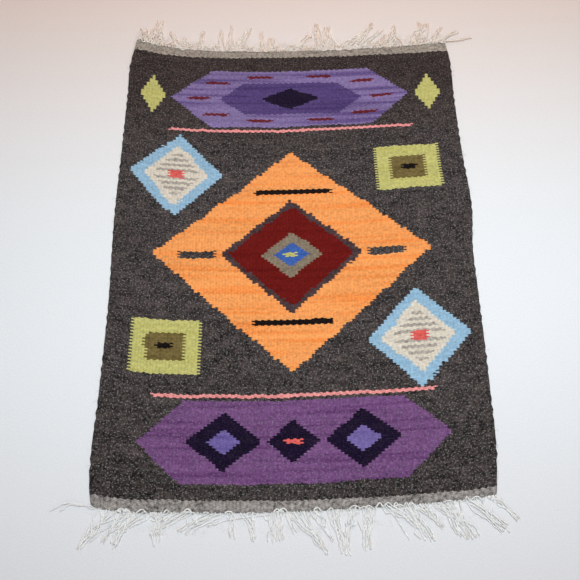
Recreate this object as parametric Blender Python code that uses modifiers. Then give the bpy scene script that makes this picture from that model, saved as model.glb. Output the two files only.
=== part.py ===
"""A flat-woven wool tapestry with a knotted warp fringe at each end, lying on a level surface.

Metres, +Z up. The warps run along Y and the wefts along X. The origin is the middle of the panel's
underside, which lies on Z = 0. The far end is at +Y and the near end at -Y.
A place in the cloth is told by two shares, each from -1 to 1: across, from the left selvedge to the
right one, and along, from the near end to the far end.
"""

import math
import random
from bisect import bisect_right
from typing import NamedTuple

import bmesh
import bpy
import numpy as np
from mathutils import Vector

# The cloth
WARPS = 120
CREST = 0.0030  # thickness over a warp, where the wefts stand highest
VALLEY = 0.0023  # thickness between two warps
SLACK = 0.35  # how much of a rib's height a loosely beaten patch loses
ROW_SHARES = (-1.0, -0.95, -0.62, -0.2, 0.1, 0.4, 0.74, 0.9, 0.96, 1.0)

# The far corners, which curl off the surface
LEFT_CURL = 0.009
RIGHT_CURL = 0.004
CURL_REACH = 0.085

# The fringe
LOCKS = 60  # at each end, each lock being two warps
SEAM_GAP = 0.0003
STRIP_DEPTH = 0.0032
STRIP_HEIGHT = 0.0024
ROOT_WIDTH = 0.0036
TIP_WIDTH = 0.0020
LOCK_HEIGHT = 0.0016
LOCK_STEPS = 5
CLUMP = 4  # neighbouring locks that lean together
GATHER = math.radians(2.2)
LEAN_JITTER = math.radians(1.6)
CLOSING = math.radians(3.2)  # the most that a lock leans in towards the one on its left
BEND = 0.12
LENGTH_JITTER = 0.12
ROOT_LEAN = 0.35  # the share of its lean that a lock has at its root
TURN_SHARE = 0.3  # the share of its length in which a lock turns to its full lean
DROOP_SHARE = 0.45  # the share of its length in which a lock comes down to the surface
PATH_STEPS = 24
SEED = 7


class Patch(NamedTuple):
    """A slow unevenness of the beat: its turn in radians for each unit across and along."""

    across: float
    along: float


class SideRow(NamedTuple):
    """How far each selvedge lies from the middle line, at one place along the cloth."""

    along: float
    left: float
    right: float


class EndRow(NamedTuple):
    """How far each end lies from the middle line, at one place across the cloth."""

    across: float
    near: float
    far: float


class FringeRow(NamedTuple):
    """How the fringe lies at one place across the cloth. A lock that leans right has a positive lean."""

    across: float
    lean_deg: float
    length: float


PATCHES = (Patch(5.1, 2.3), Patch(-2.9, 7.3))

SIDES = (
    SideRow(-1.00, 0.2985, 0.2985),
    SideRow(-0.90, 0.3040, 0.3040),
    SideRow(-0.60, 0.3030, 0.3075),
    SideRow(-0.20, 0.3030, 0.3075),
    SideRow(-0.05, 0.3055, 0.3075),
    SideRow(0.13, 0.3075, 0.3145),
    SideRow(0.40, 0.3065, 0.3095),
    SideRow(0.70, 0.3060, 0.3070),
    SideRow(0.90, 0.3055, 0.3070),
    SideRow(1.00, 0.2960, 0.3010),
)

ENDS = (
    EndRow(-1.00, -0.4570, 0.4610),
    EndRow(-0.85, -0.4645, 0.4495),
    EndRow(-0.60, -0.4665, 0.4365),
    EndRow(-0.30, -0.4680, 0.4310),
    EndRow(0.00, -0.4672, 0.4305),
    EndRow(0.30, -0.4635, 0.4330),
    EndRow(0.60, -0.4580, 0.4385),
    EndRow(0.85, -0.4515, 0.4440),
    EndRow(1.00, -0.4450, 0.4465),
)

NEAR_FRINGE = (
    FringeRow(-1.00, -92.0, 0.066),
    FringeRow(-0.98, -88.0, 0.064),
    FringeRow(-0.95, -36.0, 0.060),
    FringeRow(-0.80, -26.0, 0.055),
    FringeRow(-0.60, -33.0, 0.050),
    FringeRow(-0.44, -45.0, 0.046),
    FringeRow(-0.30, -14.0, 0.042),
    FringeRow(-0.10, 8.0, 0.046),
    FringeRow(0.06, 22.0, 0.058),
    FringeRow(0.20, 10.0, 0.056),
    FringeRow(0.36, 2.0, 0.056),
    FringeRow(0.55, 20.0, 0.054),
    FringeRow(0.72, 32.0, 0.058),
    FringeRow(0.90, 40.0, 0.060),
    FringeRow(1.00, 46.0, 0.054),
)

FAR_FRINGE = (
    FringeRow(-1.00, -46.0, 0.032),
    FringeRow(-0.92, -12.0, 0.052),
    FringeRow(-0.84, 2.0, 0.064),
    FringeRow(-0.60, 6.0, 0.056),
    FringeRow(-0.40, 14.0, 0.068),
    FringeRow(-0.14, -6.0, 0.054),
    FringeRow(0.10, 4.0, 0.068),
    FringeRow(0.32, 16.0, 0.066),
    FringeRow(0.56, 22.0, 0.064),
    FringeRow(0.80, 26.0, 0.066),
    FringeRow(0.93, 46.0, 0.056),
    FringeRow(1.00, 68.0, 0.056),
)


class Reading:
    """A smooth curve through one column of a table, read at a place given in its first column."""

    def __init__(self, rows: tuple, column: str) -> None:
        """Takes the column's values and their slopes."""
        self.places = [row[0] for row in rows]
        self.values = [getattr(row, column) for row in rows]
        self.slopes = np.gradient(self.values, self.places)

    def at(self, place: float) -> float:
        """The value at a place, by a cubic between the two rows beside it."""
        place = min(max(place, self.places[0]), self.places[-1])
        row = min(bisect_right(self.places, place), len(self.places) - 1) - 1
        span = self.places[row + 1] - self.places[row]
        t = (place - self.places[row]) / span
        start, end = self.values[row], self.values[row + 1]
        bow = span * t * (1 - t) * (self.slopes[row] * (1 - t) - self.slopes[row + 1] * t)
        return start + (end - start) * t * t * (3 - 2 * t) + bow


LEFT_SIDE = Reading(SIDES, "left")
RIGHT_SIDE = Reading(SIDES, "right")
NEAR_END = Reading(ENDS, "near")
FAR_END = Reading(ENDS, "far")


def spot(across: float, along: float) -> Vector:
    """Where a place in the cloth lies, seen from above."""
    side = RIGHT_SIDE if across > 0 else LEFT_SIDE
    near = NEAR_END.at(across)
    far = FAR_END.at(across)
    return Vector((across * side.at(along), near + (far - near) * (along + 1) / 2, 0.0))


def curl(place: Vector) -> float:
    """The height of the underside over the surface, which only the two far corners leave."""
    height = 0.0
    for across, rise in ((-1.0, LEFT_CURL), (1.0, RIGHT_CURL)):
        away = (place - spot(across, 1.0)).length
        height += rise * max(0.0, 1 - away / CURL_REACH) ** 2
    return height


def fullness(column: int, across: float, along: float) -> float:
    """The cloth's thickness at a grid point, from 0 in a valley to 1 on a rib's crest."""
    if column % 2 == 0:
        return 0.0
    waves = [math.sin(patch.across * across + patch.along * along) for patch in PATCHES]
    return 1 - SLACK * (1 + sum(waves) / len(waves)) / 2


def wool(name: str, colour: tuple) -> bpy.types.Material:
    """A matt yarn of one colour."""
    material = bpy.data.materials.new(name)
    material.use_nodes = True
    shader = material.node_tree.nodes["Principled BSDF"]
    shader.inputs["Base Color"].default_value = (*colour, 1.0)
    shader.inputs["Roughness"].default_value = 0.95
    shader.inputs["Metallic"].default_value = 0.0
    material.diffuse_color = (*colour, 1.0)
    return material


def add_object(name: str, mesh_data: bmesh.types.BMesh, material, collection) -> bpy.types.Object:
    """One named piece, whose mesh is already in its place."""
    mesh = bpy.data.meshes.new(name)
    mesh_data.to_mesh(mesh)
    mesh_data.free()
    mesh.materials.append(material)
    piece = bpy.data.objects.new(name, mesh)
    collection.objects.link(piece)
    return piece


def build_panel(material, collection) -> bpy.types.Object:
    """The woven panel: its underside as a grid, thickened upwards into one rib for each warp."""
    columns = 2 * WARPS
    rows = len(ROW_SHARES) - 1
    cloth = bmesh.new()
    bmesh.ops.create_grid(cloth, x_segments=columns, y_segments=rows, size=0.5)
    crests = []
    for vertex in cloth.verts:
        column = round((vertex.co.x + 0.5) * columns)
        along = ROW_SHARES[round((vertex.co.y + 0.5) * rows)]
        across = 2 * column / columns - 1
        crests.append((vertex.index, fullness(column, across, along)))
        vertex.co = spot(across, along)
        vertex.co.z = curl(vertex.co)
    panel = add_object("woven_panel", cloth, material, collection)
    ribs = panel.vertex_groups.new(name="ribs")
    for index, weight in crests:
        ribs.add([index], weight, "REPLACE")
    thicken = panel.modifiers.new("thickness", "SOLIDIFY")
    thicken.thickness = CREST
    thicken.offset = 1.0
    thicken.vertex_group = ribs.name
    thicken.thickness_vertex_group = VALLEY / CREST
    return panel


class Lock:
    """One lock of the fringe: its root on the strip, its heading and its length."""

    def __init__(self, number: int, end: int, lean: float, length: float, bend: float) -> None:
        """A lock of the end at `end` times +Y."""
        self.end = end
        self.lean = lean
        self.length = length
        self.bend = bend
        edge = spot(place_of(number), end)
        self.root = edge + Vector((0, end * (SEAM_GAP + STRIP_DEPTH), curl(edge) + STRIP_HEIGHT / 2))

    def heading(self, share: float) -> float:
        """The angle from the cloth's lengthwise line at a share of the lock's length."""
        ease = min(1.0, ROOT_LEAN + (1 - ROOT_LEAN) * share / TURN_SHARE)
        return self.lean * ease + self.bend * (share - 0.5)

    def ring(self, share: float) -> tuple:
        """The middle of the lock's section at a share of its length, and the way to its right."""
        middle = self.root.copy()
        for step in range(round(PATH_STEPS * share)):
            angle = self.heading(step / PATH_STEPS)
            middle += Vector((math.sin(angle), self.end * math.cos(angle), 0)) * self.length / PATH_STEPS
        fallen = min(1.0, share / DROOP_SHARE)
        fallen = fallen * fallen * (3 - 2 * fallen)
        middle.z = self.root.z + (LOCK_HEIGHT / 2 - self.root.z) * fallen
        angle = self.heading(share)
        return middle, Vector((math.cos(angle), -self.end * math.sin(angle), 0))


def place_of(number: int) -> float:
    """The place across the cloth of a numbered lock's middle."""
    return (2 * number + 1) / LOCKS - 1


def lay_out(end: int, table: tuple) -> list:
    """The locks of one fringe, from left to right, gathered in clumps but clear of each other."""
    luck = random.Random(SEED + end)
    leans = Reading(table, "lean_deg")
    lengths = Reading(table, "length")
    locks = []
    lean = -math.pi
    for number in range(LOCKS):
        in_clump = number % CLUMP - (CLUMP - 1) / 2
        wanted = math.radians(leans.at(place_of(number))) - GATHER * in_clump
        lean = max(wanted + luck.uniform(-LEAN_JITTER, LEAN_JITTER), lean - CLOSING)
        length = lengths.at(place_of(number)) * (1 + luck.uniform(-LENGTH_JITTER, LENGTH_JITTER))
        locks.append(Lock(number, end, lean, length, luck.uniform(-BEND, BEND)))
    return locks


def strip_stations() -> list:
    """The places across the cloth where the strip's cells begin: the two ends and each lock's two sides."""
    half_root = ROOT_WIDTH / 2 / SIDES[0].left
    stations = [-1.0]
    for number in range(LOCKS):
        stations += [place_of(number) - half_root, place_of(number) + half_root]
    return [*stations, 1.0]


def draw_out(fringe: bmesh.types.BMesh, face: bmesh.types.BMFace, lock: Lock) -> None:
    """Draws one front face of the strip out into a four-sided lock."""
    middle = face.calc_center_median()
    right = Vector((1, 0, 0))
    for step in range(1, LOCK_STEPS + 1):
        share = step / LOCK_STEPS
        face = bmesh.ops.extrude_discrete_faces(fringe, faces=[face])["faces"][0]
        new_middle, new_right = lock.ring(share)
        width = ROOT_WIDTH + (TIP_WIDTH - ROOT_WIDTH) * min(1.0, 2 * share)
        height = STRIP_HEIGHT + (LOCK_HEIGHT - STRIP_HEIGHT) * min(1.0, share / DROOP_SHARE)
        for corner in face.verts:
            to_right = 1 if (corner.co - middle).dot(right) > 0 else -1
            upward = 1 if corner.co.z > middle.z else -1
            corner.co = new_middle + new_right * to_right * width / 2
            corner.co.z = max(0.0, new_middle.z + upward * height / 2)
        middle, right = face.calc_center_median(), new_right


def build_fringe(name: str, end: int, table: tuple, material, collection) -> bpy.types.Object:
    """A fringe: the narrow strip of knots beside the cloth's end, drawn out into its locks."""
    stations = strip_stations()
    cells = len(stations) - 1
    fringe = bmesh.new()
    bmesh.ops.create_cube(fringe, size=1.0)
    long_edges = [e for e in fringe.edges if abs(e.verts[0].co.x - e.verts[1].co.x) > 0.5]
    bmesh.ops.subdivide_edges(fringe, edges=long_edges, cuts=cells - 1)
    fronts = {}
    for face in fringe.faces:
        if abs(face.normal.y) > 0.5 and face.normal.y * end > 0:
            fronts[math.floor((face.calc_center_median().x + 0.5) * cells)] = face
    for vertex in fringe.verts:
        across = stations[round((vertex.co.x + 0.5) * cells)]
        depth = SEAM_GAP + (STRIP_DEPTH if vertex.co.y * end > 0 else 0.0)
        level = STRIP_HEIGHT if vertex.co.z > 0 else 0.0
        edge = spot(across, end)
        vertex.co = edge + Vector((0, end * depth, curl(edge) + level))
    for number, lock in enumerate(lay_out(end, table)):
        draw_out(fringe, fronts[2 * number + 1], lock)
    return add_object(name, fringe, material, collection)


def main() -> None:
    """Clears the scene and builds the tapestry."""
    for item in list(bpy.data.objects):
        bpy.data.objects.remove(item)
    tapestry = bpy.data.collections.new("woven wool tapestry")
    bpy.context.scene.collection.children.link(tapestry)
    charcoal = wool("charcoal wool", (0.062, 0.054, 0.048))
    ecru = wool("ecru warp yarn", (0.72, 0.68, 0.60))
    build_panel(charcoal, tapestry)
    build_fringe("fringe_near", -1, NEAR_FRINGE, ecru, tapestry)
    build_fringe("fringe_far", 1, FAR_FRINGE, ecru, tapestry)


main()
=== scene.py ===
"""The looks of a flat-woven wool tapestry that lies on a pale floor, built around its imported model.

Metres, +Z up. The warps run along Y and the wefts along X. The far end is at +Y and the near end at -Y.
A place in the cloth is told by two shares, each from -1 to 1: across, from the left selvedge to the
right one, and along, from the near end to the far end. The pattern is read in woven metres, u across
and v along, from the cloth's middle, so it bows and draws in with the cloth.
"""

import logging
import math
import random
from dataclasses import dataclass, field
from enum import Enum
from typing import NamedTuple

import bmesh
import bpy
import numpy as np
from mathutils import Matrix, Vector


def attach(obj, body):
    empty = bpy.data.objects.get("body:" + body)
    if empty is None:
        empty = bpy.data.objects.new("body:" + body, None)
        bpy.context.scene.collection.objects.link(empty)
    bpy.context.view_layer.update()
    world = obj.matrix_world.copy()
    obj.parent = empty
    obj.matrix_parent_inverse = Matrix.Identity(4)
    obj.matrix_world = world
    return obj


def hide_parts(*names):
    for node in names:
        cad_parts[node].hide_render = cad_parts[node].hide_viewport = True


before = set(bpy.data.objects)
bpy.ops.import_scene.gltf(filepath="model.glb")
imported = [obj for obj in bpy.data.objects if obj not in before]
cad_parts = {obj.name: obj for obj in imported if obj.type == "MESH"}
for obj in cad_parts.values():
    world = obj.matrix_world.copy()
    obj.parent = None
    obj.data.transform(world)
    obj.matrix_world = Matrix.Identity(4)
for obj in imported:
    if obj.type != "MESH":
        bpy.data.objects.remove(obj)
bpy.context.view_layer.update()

log = logging.getLogger("tapestry")

# The weave
WARPS = 120
HALF_WIDE = 0.305
HALF_LONG = 0.450
WARP_PITCH = 2 * HALF_WIDE / WARPS
BEAD_PITCH = 0.00275  # one bead of weft on a rib, along the warp
BAND = 0.0178  # how far the light band at each end reaches in, in its middle


class SideRow(NamedTuple):
    """How far each selvedge lies from the middle line, at one place along the cloth."""

    along: float
    left: float
    right: float


class EndRow(NamedTuple):
    """How far each end lies from the middle line, at one place across the cloth."""

    across: float
    near: float
    far: float


class Clump(NamedTuple):
    """Fringe yarns that lie together, in metres.

    Their roots lie between left and right of the cloth's middle line, and their tips meet at tip, out
    beyond the cloth's end, strewn by splay.
    """

    left: float
    right: float
    tip: float
    out: float
    yarns: int
    splay: float = 0.0035


SIDES = (
    SideRow(-1.00, 0.2985, 0.2985),
    SideRow(-0.90, 0.3040, 0.3040),
    SideRow(-0.60, 0.3030, 0.3075),
    SideRow(-0.20, 0.3030, 0.3075),
    SideRow(-0.05, 0.3055, 0.3075),
    SideRow(0.13, 0.3075, 0.3145),
    SideRow(0.40, 0.3065, 0.3095),
    SideRow(0.70, 0.3060, 0.3070),
    SideRow(0.90, 0.3055, 0.3070),
    SideRow(1.00, 0.2960, 0.3010),
)

ENDS = (
    EndRow(-1.00, -0.4570, 0.4610),
    EndRow(-0.85, -0.4645, 0.4495),
    EndRow(-0.60, -0.4665, 0.4365),
    EndRow(-0.30, -0.4680, 0.4310),
    EndRow(0.00, -0.4672, 0.4305),
    EndRow(0.30, -0.4635, 0.4330),
    EndRow(0.60, -0.4580, 0.4385),
    EndRow(0.85, -0.4515, 0.4440),
    EndRow(1.00, -0.4450, 0.4465),
)

NEAR_CLUMPS = (
    Clump(-0.290, -0.238, -0.303, 0.058, 7, 0.005),
    Clump(-0.262, -0.236, -0.276, 0.048, 4),
    Clump(-0.246, -0.228, -0.260, 0.053, 6),
    Clump(-0.225, -0.205, -0.242, 0.024, 2),
    Clump(-0.212, -0.150, -0.204, 0.034, 10, 0.005),
    Clump(-0.206, -0.198, -0.199, 0.046, 2),
    Clump(-0.152, -0.100, -0.158, 0.031, 7, 0.008),
    Clump(-0.030, -0.024, -0.122, 0.021, 1),
    Clump(-0.098, -0.086, -0.090, 0.037, 4),
    Clump(-0.080, -0.050, -0.059, 0.043, 5),
    Clump(-0.034, -0.018, -0.031, 0.043, 4),
    Clump(-0.026, -0.010, -0.015, 0.041, 3),
    Clump(-0.012, -0.006, 0.001, 0.033, 2),
    Clump(-0.008, 0.022, 0.045, 0.060, 6),
    Clump(0.024, 0.034, 0.054, 0.045, 3),
    Clump(0.048, 0.070, 0.074, 0.064, 6, 0.005),
    Clump(0.078, 0.092, 0.077, 0.054, 5),
    Clump(0.094, 0.122, 0.103, 0.060, 8),
    Clump(0.136, 0.148, 0.184, 0.038, 4),
    Clump(0.133, 0.137, 0.166, 0.049, 1),
    Clump(0.158, 0.178, 0.190, 0.056, 6, 0.006),
    Clump(0.172, 0.200, 0.215, 0.037, 5),
    Clump(0.202, 0.246, 0.252, 0.057, 13, 0.008),
    Clump(0.248, 0.274, 0.306, 0.052, 6, 0.005),
    Clump(0.284, 0.298, 0.324, 0.038, 4),
)

NEAR_STRAYS = (
    ((-0.290, -0.001), (-0.297, 0.001), (-0.314, -0.004), (-0.331, -0.002), (-0.342, 0.006)),
    ((-0.291, 0.000), (-0.302, -0.003), (-0.318, -0.002), (-0.334, -0.006), (-0.357, 0.006)),
)

FAR_CLUMPS = (
    Clump(-0.294, -0.262, -0.283, 0.038, 5),
    Clump(-0.288, -0.252, -0.272, 0.046, 5),
    Clump(-0.268, -0.243, -0.255, 0.064, 5),
    Clump(-0.228, -0.198, -0.233, 0.040, 5),
    Clump(-0.212, -0.188, -0.205, 0.030, 4),
    Clump(-0.186, -0.160, -0.171, 0.052, 6),
    Clump(-0.144, -0.120, -0.133, 0.056, 4),
    Clump(-0.130, -0.104, -0.112, 0.069, 5),
    Clump(-0.112, -0.096, -0.077, 0.058, 4),
    Clump(-0.108, -0.092, -0.099, 0.038, 3),
    Clump(-0.062, -0.044, -0.054, 0.051, 5),
    Clump(-0.050, -0.030, -0.036, 0.036, 5),
    Clump(-0.024, 0.006, 0.012, 0.012, 5),
    Clump(0.000, 0.022, 0.039, 0.043, 3),
    Clump(0.046, 0.074, 0.053, 0.069, 6),
    Clump(0.064, 0.090, 0.074, 0.060, 6),
    Clump(0.094, 0.122, 0.147, 0.046, 5),
    Clump(0.104, 0.134, 0.163, 0.064, 5),
    Clump(0.124, 0.140, 0.178, 0.044, 4),
    Clump(0.158, 0.184, 0.190, 0.032, 4),
    Clump(0.176, 0.222, 0.206, 0.053, 7),
    Clump(0.230, 0.252, 0.258, 0.057, 5),
    Clump(0.246, 0.272, 0.273, 0.056, 5),
    Clump(0.262, 0.284, 0.297, 0.042, 4),
    Clump(0.276, 0.296, 0.329, 0.032, 4),
    Clump(0.284, 0.300, 0.348, 0.012, 4),
)


class Reading:
    """A smooth curve through one column of a table, read at places given in its first column."""

    def __init__(self, rows: tuple, column: str) -> None:
        """Takes the column's values and their slopes.

        Args:
            rows: the table, whose first column rises.
            column: the name of the column to read.
        """
        self.places = np.array([row[0] for row in rows])
        self.values = np.array([getattr(row, column) for row in rows])
        self.slopes = np.gradient(self.values, self.places)

    def at(self, place: np.ndarray | float) -> np.ndarray:
        """The values at some places, by a cubic between the two rows beside each.

        Args:
            place: one place or an array of them.

        Returns:
            The values there.
        """
        place = np.clip(place, self.places[0], self.places[-1])
        row = np.clip(np.searchsorted(self.places, place, side="right") - 1, 0, len(self.places) - 2)
        span = self.places[row + 1] - self.places[row]
        t = (place - self.places[row]) / span
        start, end = self.values[row], self.values[row + 1]
        bow = span * t * (1 - t) * (self.slopes[row] * (1 - t) - self.slopes[row + 1] * t)
        return start + (end - start) * t * t * (3 - 2 * t) + bow


def smooth(value: np.ndarray | float) -> np.ndarray:
    """A soft step from 0 to 1 as the value goes from 0 to 1."""
    value = np.clip(value, 0.0, 1.0)
    return value * value * (3 - 2 * value)


def thread(waypoints: list[tuple[float, float]], steps: int, fineness: int = 16) -> np.ndarray:
    """A smooth line through some points in a plane, at an even pace.

    Args:
        waypoints: the points.
        steps: how many steps the line has.
        fineness: how many places between two waypoints are worked out, before the pace is made even.

    Returns:
        One row of two numbers for each end of a step.
    """
    points = np.array([waypoints[0], *waypoints, waypoints[-1]])
    spans = []
    for before, start, end, after in zip(points, points[1:], points[2:], points[3:]):
        t = np.linspace(0, 1, fineness, endpoint=False)[:, None]
        bend = (2 * before - 5 * start + 4 * end - after) * t * t
        spans.append(start + (t * (end - before) + bend + (3 * (start - end) + after - before) * t**3) / 2)
    line = np.concatenate([*spans, points[-1:]])
    travelled = np.concatenate([[0], np.cumsum(np.linalg.norm(np.diff(line, axis=0), axis=1))])
    even = np.linspace(0, travelled[-1], steps + 1)
    return np.stack([np.interp(even, travelled, line[:, part]) for part in (0, 1)], axis=1)


@dataclass
class Lay:
    """How the cloth lies on the floor: from a place in the weave to a place in the frame."""

    left_curl: float = 0.009  # how far each far corner curls up off the floor
    right_curl: float = 0.004
    curl_reach: float = 0.085

    def __post_init__(self) -> None:
        """Reads the outline's tables."""
        self.left = Reading(SIDES, "left")
        self.right = Reading(SIDES, "right")
        self.near = Reading(ENDS, "near")
        self.far = Reading(ENDS, "far")

    def spot(self, across: np.ndarray | float, along: np.ndarray | float) -> tuple:
        """Where places in the cloth lie, seen from above.

        Args:
            across: shares from the left selvedge to the right one.
            along: shares from the near end to the far end.

        Returns:
            The x and the y of each place.
        """
        half = np.where(np.asarray(across) > 0, self.right.at(along), self.left.at(along))
        near, far = self.near.at(across), self.far.at(across)
        return across * half, near + (far - near) * (np.asarray(along) + 1) / 2

    def curl(self, x: np.ndarray | float, y: np.ndarray | float) -> np.ndarray:
        """The height of the underside over the floor, which only the two far corners leave.

        Args:
            x: each place's x.
            y: each place's y.

        Returns:
            The height at each place.
        """
        height = np.zeros(np.broadcast(x, y).shape)
        for across, rise in ((-1.0, self.left_curl), (1.0, self.right_curl)):
            corner_x, corner_y = self.spot(across, 1.0)
            away = np.hypot(x - corner_x, y - corner_y)
            height = height + rise * np.clip(1 - away / self.curl_reach, 0, None) ** 2
        return height


class Value:
    """A number that changes over a surface, worked out in shader nodes with ordinary operators."""

    def __init__(self, tree: bpy.types.NodeTree, socket: bpy.types.NodeSocket) -> None:
        """Wraps one output socket of a tree."""
        self.tree = tree
        self.socket = socket

    def math(self, operation: str, *others: "Value | float", swapped: bool = False) -> "Value":
        """Adds one Math node.

        Args:
            operation: the node's operation.
            others: its further inputs, each a value or a plain number.
            swapped: whether this value is the second input, not the first.

        Returns:
            The node's result.
        """
        node = self.tree.nodes.new("ShaderNodeMath")
        node.operation = operation
        inputs = (*others, self) if swapped else (self, *others)
        for socket, given in zip(node.inputs, inputs):
            if isinstance(given, Value):
                self.tree.links.new(given.socket, socket)
            else:
                socket.default_value = given
        return Value(self.tree, node.outputs[0])

    def __add__(self, other: "Value | float") -> "Value":
        """The sum."""
        return self.math("ADD", other)

    def __sub__(self, other: "Value | float") -> "Value":
        """The difference."""
        return self.math("SUBTRACT", other)

    def __rsub__(self, other: float) -> "Value":
        """A plain number less this value."""
        return self.math("SUBTRACT", other, swapped=True)

    def __mul__(self, other: "Value | float") -> "Value":
        """The product, which of two masks is their overlap."""
        return self.math("MULTIPLY", other)

    def __truediv__(self, other: "Value | float") -> "Value":
        """The quotient."""
        return self.math("DIVIDE", other)

    def __lt__(self, other: "Value | float") -> "Value":
        """A mask of where this value is the lower."""
        return self.math("LESS_THAN", other)

    def __gt__(self, other: "Value | float") -> "Value":
        """A mask of where this value is the higher."""
        return self.math("GREATER_THAN", other)

    def __abs__(self) -> "Value":
        """The distance from 0."""
        return self.math("ABSOLUTE")

    def floor(self) -> "Value":
        """The whole number below."""
        return self.math("FLOOR")

    def wrap(self, period: float) -> "Value":
        """The rest after whole periods, never below 0."""
        return self.math("FLOORED_MODULO", period)

    def power(self, exponent: float) -> "Value":
        """This value, raised to a power."""
        return self.math("POWER", exponent)

    def between(self, low: float, high: float) -> "Value":
        """Adds a soft step.

        Args:
            low: where the step starts, at 0.
            high: where it ends, at 1.

        Returns:
            The step's height, from 0 to 1.
        """
        node = self.tree.nodes.new("ShaderNodeMapRange")
        node.interpolation_type = "SMOOTHSTEP"
        self.tree.links.new(self.socket, node.inputs["Value"])
        node.inputs["From Min"].default_value = low
        node.inputs["From Max"].default_value = high
        return Value(self.tree, node.outputs["Result"])


class Grain(NamedTuple):
    """One layer of noise over the weave.

    Args:
        scale: its lumps for each metre.
        detail: how many finer layers it has.
        across: the share of the scale that it keeps across the cloth, so that a low one draws it long.
        along: the same along the cloth.
        layer: which slice of the noise it reads, so that no two are alike.
    """

    scale: float
    detail: float
    across: float
    along: float
    layer: float


class Board:
    """Short ways to add nodes to a shader tree."""

    def __init__(self, tree: bpy.types.NodeTree) -> None:
        """Takes the tree."""
        self.tree = tree

    def add(self, kind: str, **settings: object) -> bpy.types.Node:
        """Adds a node with some of its settings.

        Args:
            kind: the node's type.
            settings: what to set on it, by name.

        Returns:
            The node.
        """
        node = self.tree.nodes.new(kind)
        for name, setting in settings.items():
            setattr(node, name, setting)
        return node

    def link(self, source: "Value | bpy.types.NodeSocket", target: bpy.types.NodeSocket) -> None:
        """Joins an output to an input."""
        self.tree.links.new(source.socket if isinstance(source, Value) else source, target)

    def read(self, node: bpy.types.Node, name: str | int) -> Value:
        """One of a node's outputs as a value."""
        return Value(self.tree, node.outputs[name])

    def split(self, vector: bpy.types.NodeSocket) -> tuple[Value, Value, Value]:
        """Takes a vector apart.

        Args:
            vector: the vector.

        Returns:
            Its three parts.
        """
        node = self.add("ShaderNodeSeparateXYZ")
        self.link(vector, node.inputs[0])
        return tuple(Value(self.tree, out) for out in node.outputs)

    def join(
        self, x: "Value | float", y: "Value | float", z: "Value | float" = 0.0
    ) -> bpy.types.NodeSocket:
        """Puts a vector together.

        Args:
            x: its first part.
            y: its second part.
            z: its third part.

        Returns:
            The vector.
        """
        node = self.add("ShaderNodeCombineXYZ")
        for given, socket in zip((x, y, z), node.inputs):
            if isinstance(given, Value):
                self.link(given, socket)
            else:
                socket.default_value = given
        return node.outputs[0]

    def noise(self, vector: bpy.types.NodeSocket, scale: float, detail: float = 2.0) -> Value:
        """Soft noise around 0.5.

        Args:
            vector: where the noise is read.
            scale: its lumps for each metre.
            detail: how many finer layers it has.

        Returns:
            The noise.
        """
        node = self.add("ShaderNodeTexNoise", noise_dimensions="3D")
        node.inputs["Scale"].default_value = scale
        node.inputs["Detail"].default_value = detail
        self.link(vector, node.inputs["Vector"])
        return self.read(node, 0)

    def grain(self, grain: Grain, u: Value, v: Value) -> Value:
        """One layer of noise over the weave.

        Args:
            grain: the layer.
            u: the place across.
            v: the place along.

        Returns:
            The noise, around 0.5.
        """
        place = self.join(u * grain.across, v * grain.along, grain.layer)
        return self.noise(place, grain.scale, grain.detail)

    def chances(self, vector: bpy.types.NodeSocket) -> tuple[Value, Value, Value]:
        """Draws random numbers that are the same wherever a vector is the same.

        Args:
            vector: the vector.

        Returns:
            Three numbers from 0 to 1.
        """
        node = self.add("ShaderNodeTexWhiteNoise", noise_dimensions="3D")
        self.link(vector, node.inputs["Vector"])
        return self.split(node.outputs["Color"])

    def mix(
        self, share: Value, first: bpy.types.NodeSocket, second: tuple | bpy.types.NodeSocket
    ) -> bpy.types.NodeSocket:
        """A colour between two.

        Args:
            share: how much of the second there is, from 0 to 1.
            first: the colour at 0.
            second: the colour at 1, as an output or as linear light.

        Returns:
            The mixed colour.
        """
        node = self.add("ShaderNodeMix", data_type="RGBA")
        self.link(share, node.inputs["Factor"])
        self.link(first, node.inputs["A"])
        if isinstance(second, tuple):
            node.inputs["B"].default_value = (*second, 1.0)
        else:
            self.link(second, node.inputs["B"])
        return node.outputs["Result"]

    def plain(self, colour: tuple[int, int, int]) -> bpy.types.NodeSocket:
        """One 8-bit sRGB colour, for a mix to start from.

        Args:
            colour: the colour.

        Returns:
            It as an output.
        """
        node = self.add("ShaderNodeRGB")
        node.outputs[0].default_value = (*linear(colour), 1.0)
        return node.outputs[0]

    def shade(self, colour: bpy.types.NodeSocket, tone: Value) -> bpy.types.NodeSocket:
        """Makes a colour darker or lighter.

        Args:
            colour: the colour.
            tone: the factor.

        Returns:
            The toned colour.
        """
        node = self.add("ShaderNodeVectorMath", operation="SCALE")
        self.link(colour, node.inputs[0])
        self.link(tone, node.inputs["Scale"])
        return node.outputs[0]


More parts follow.
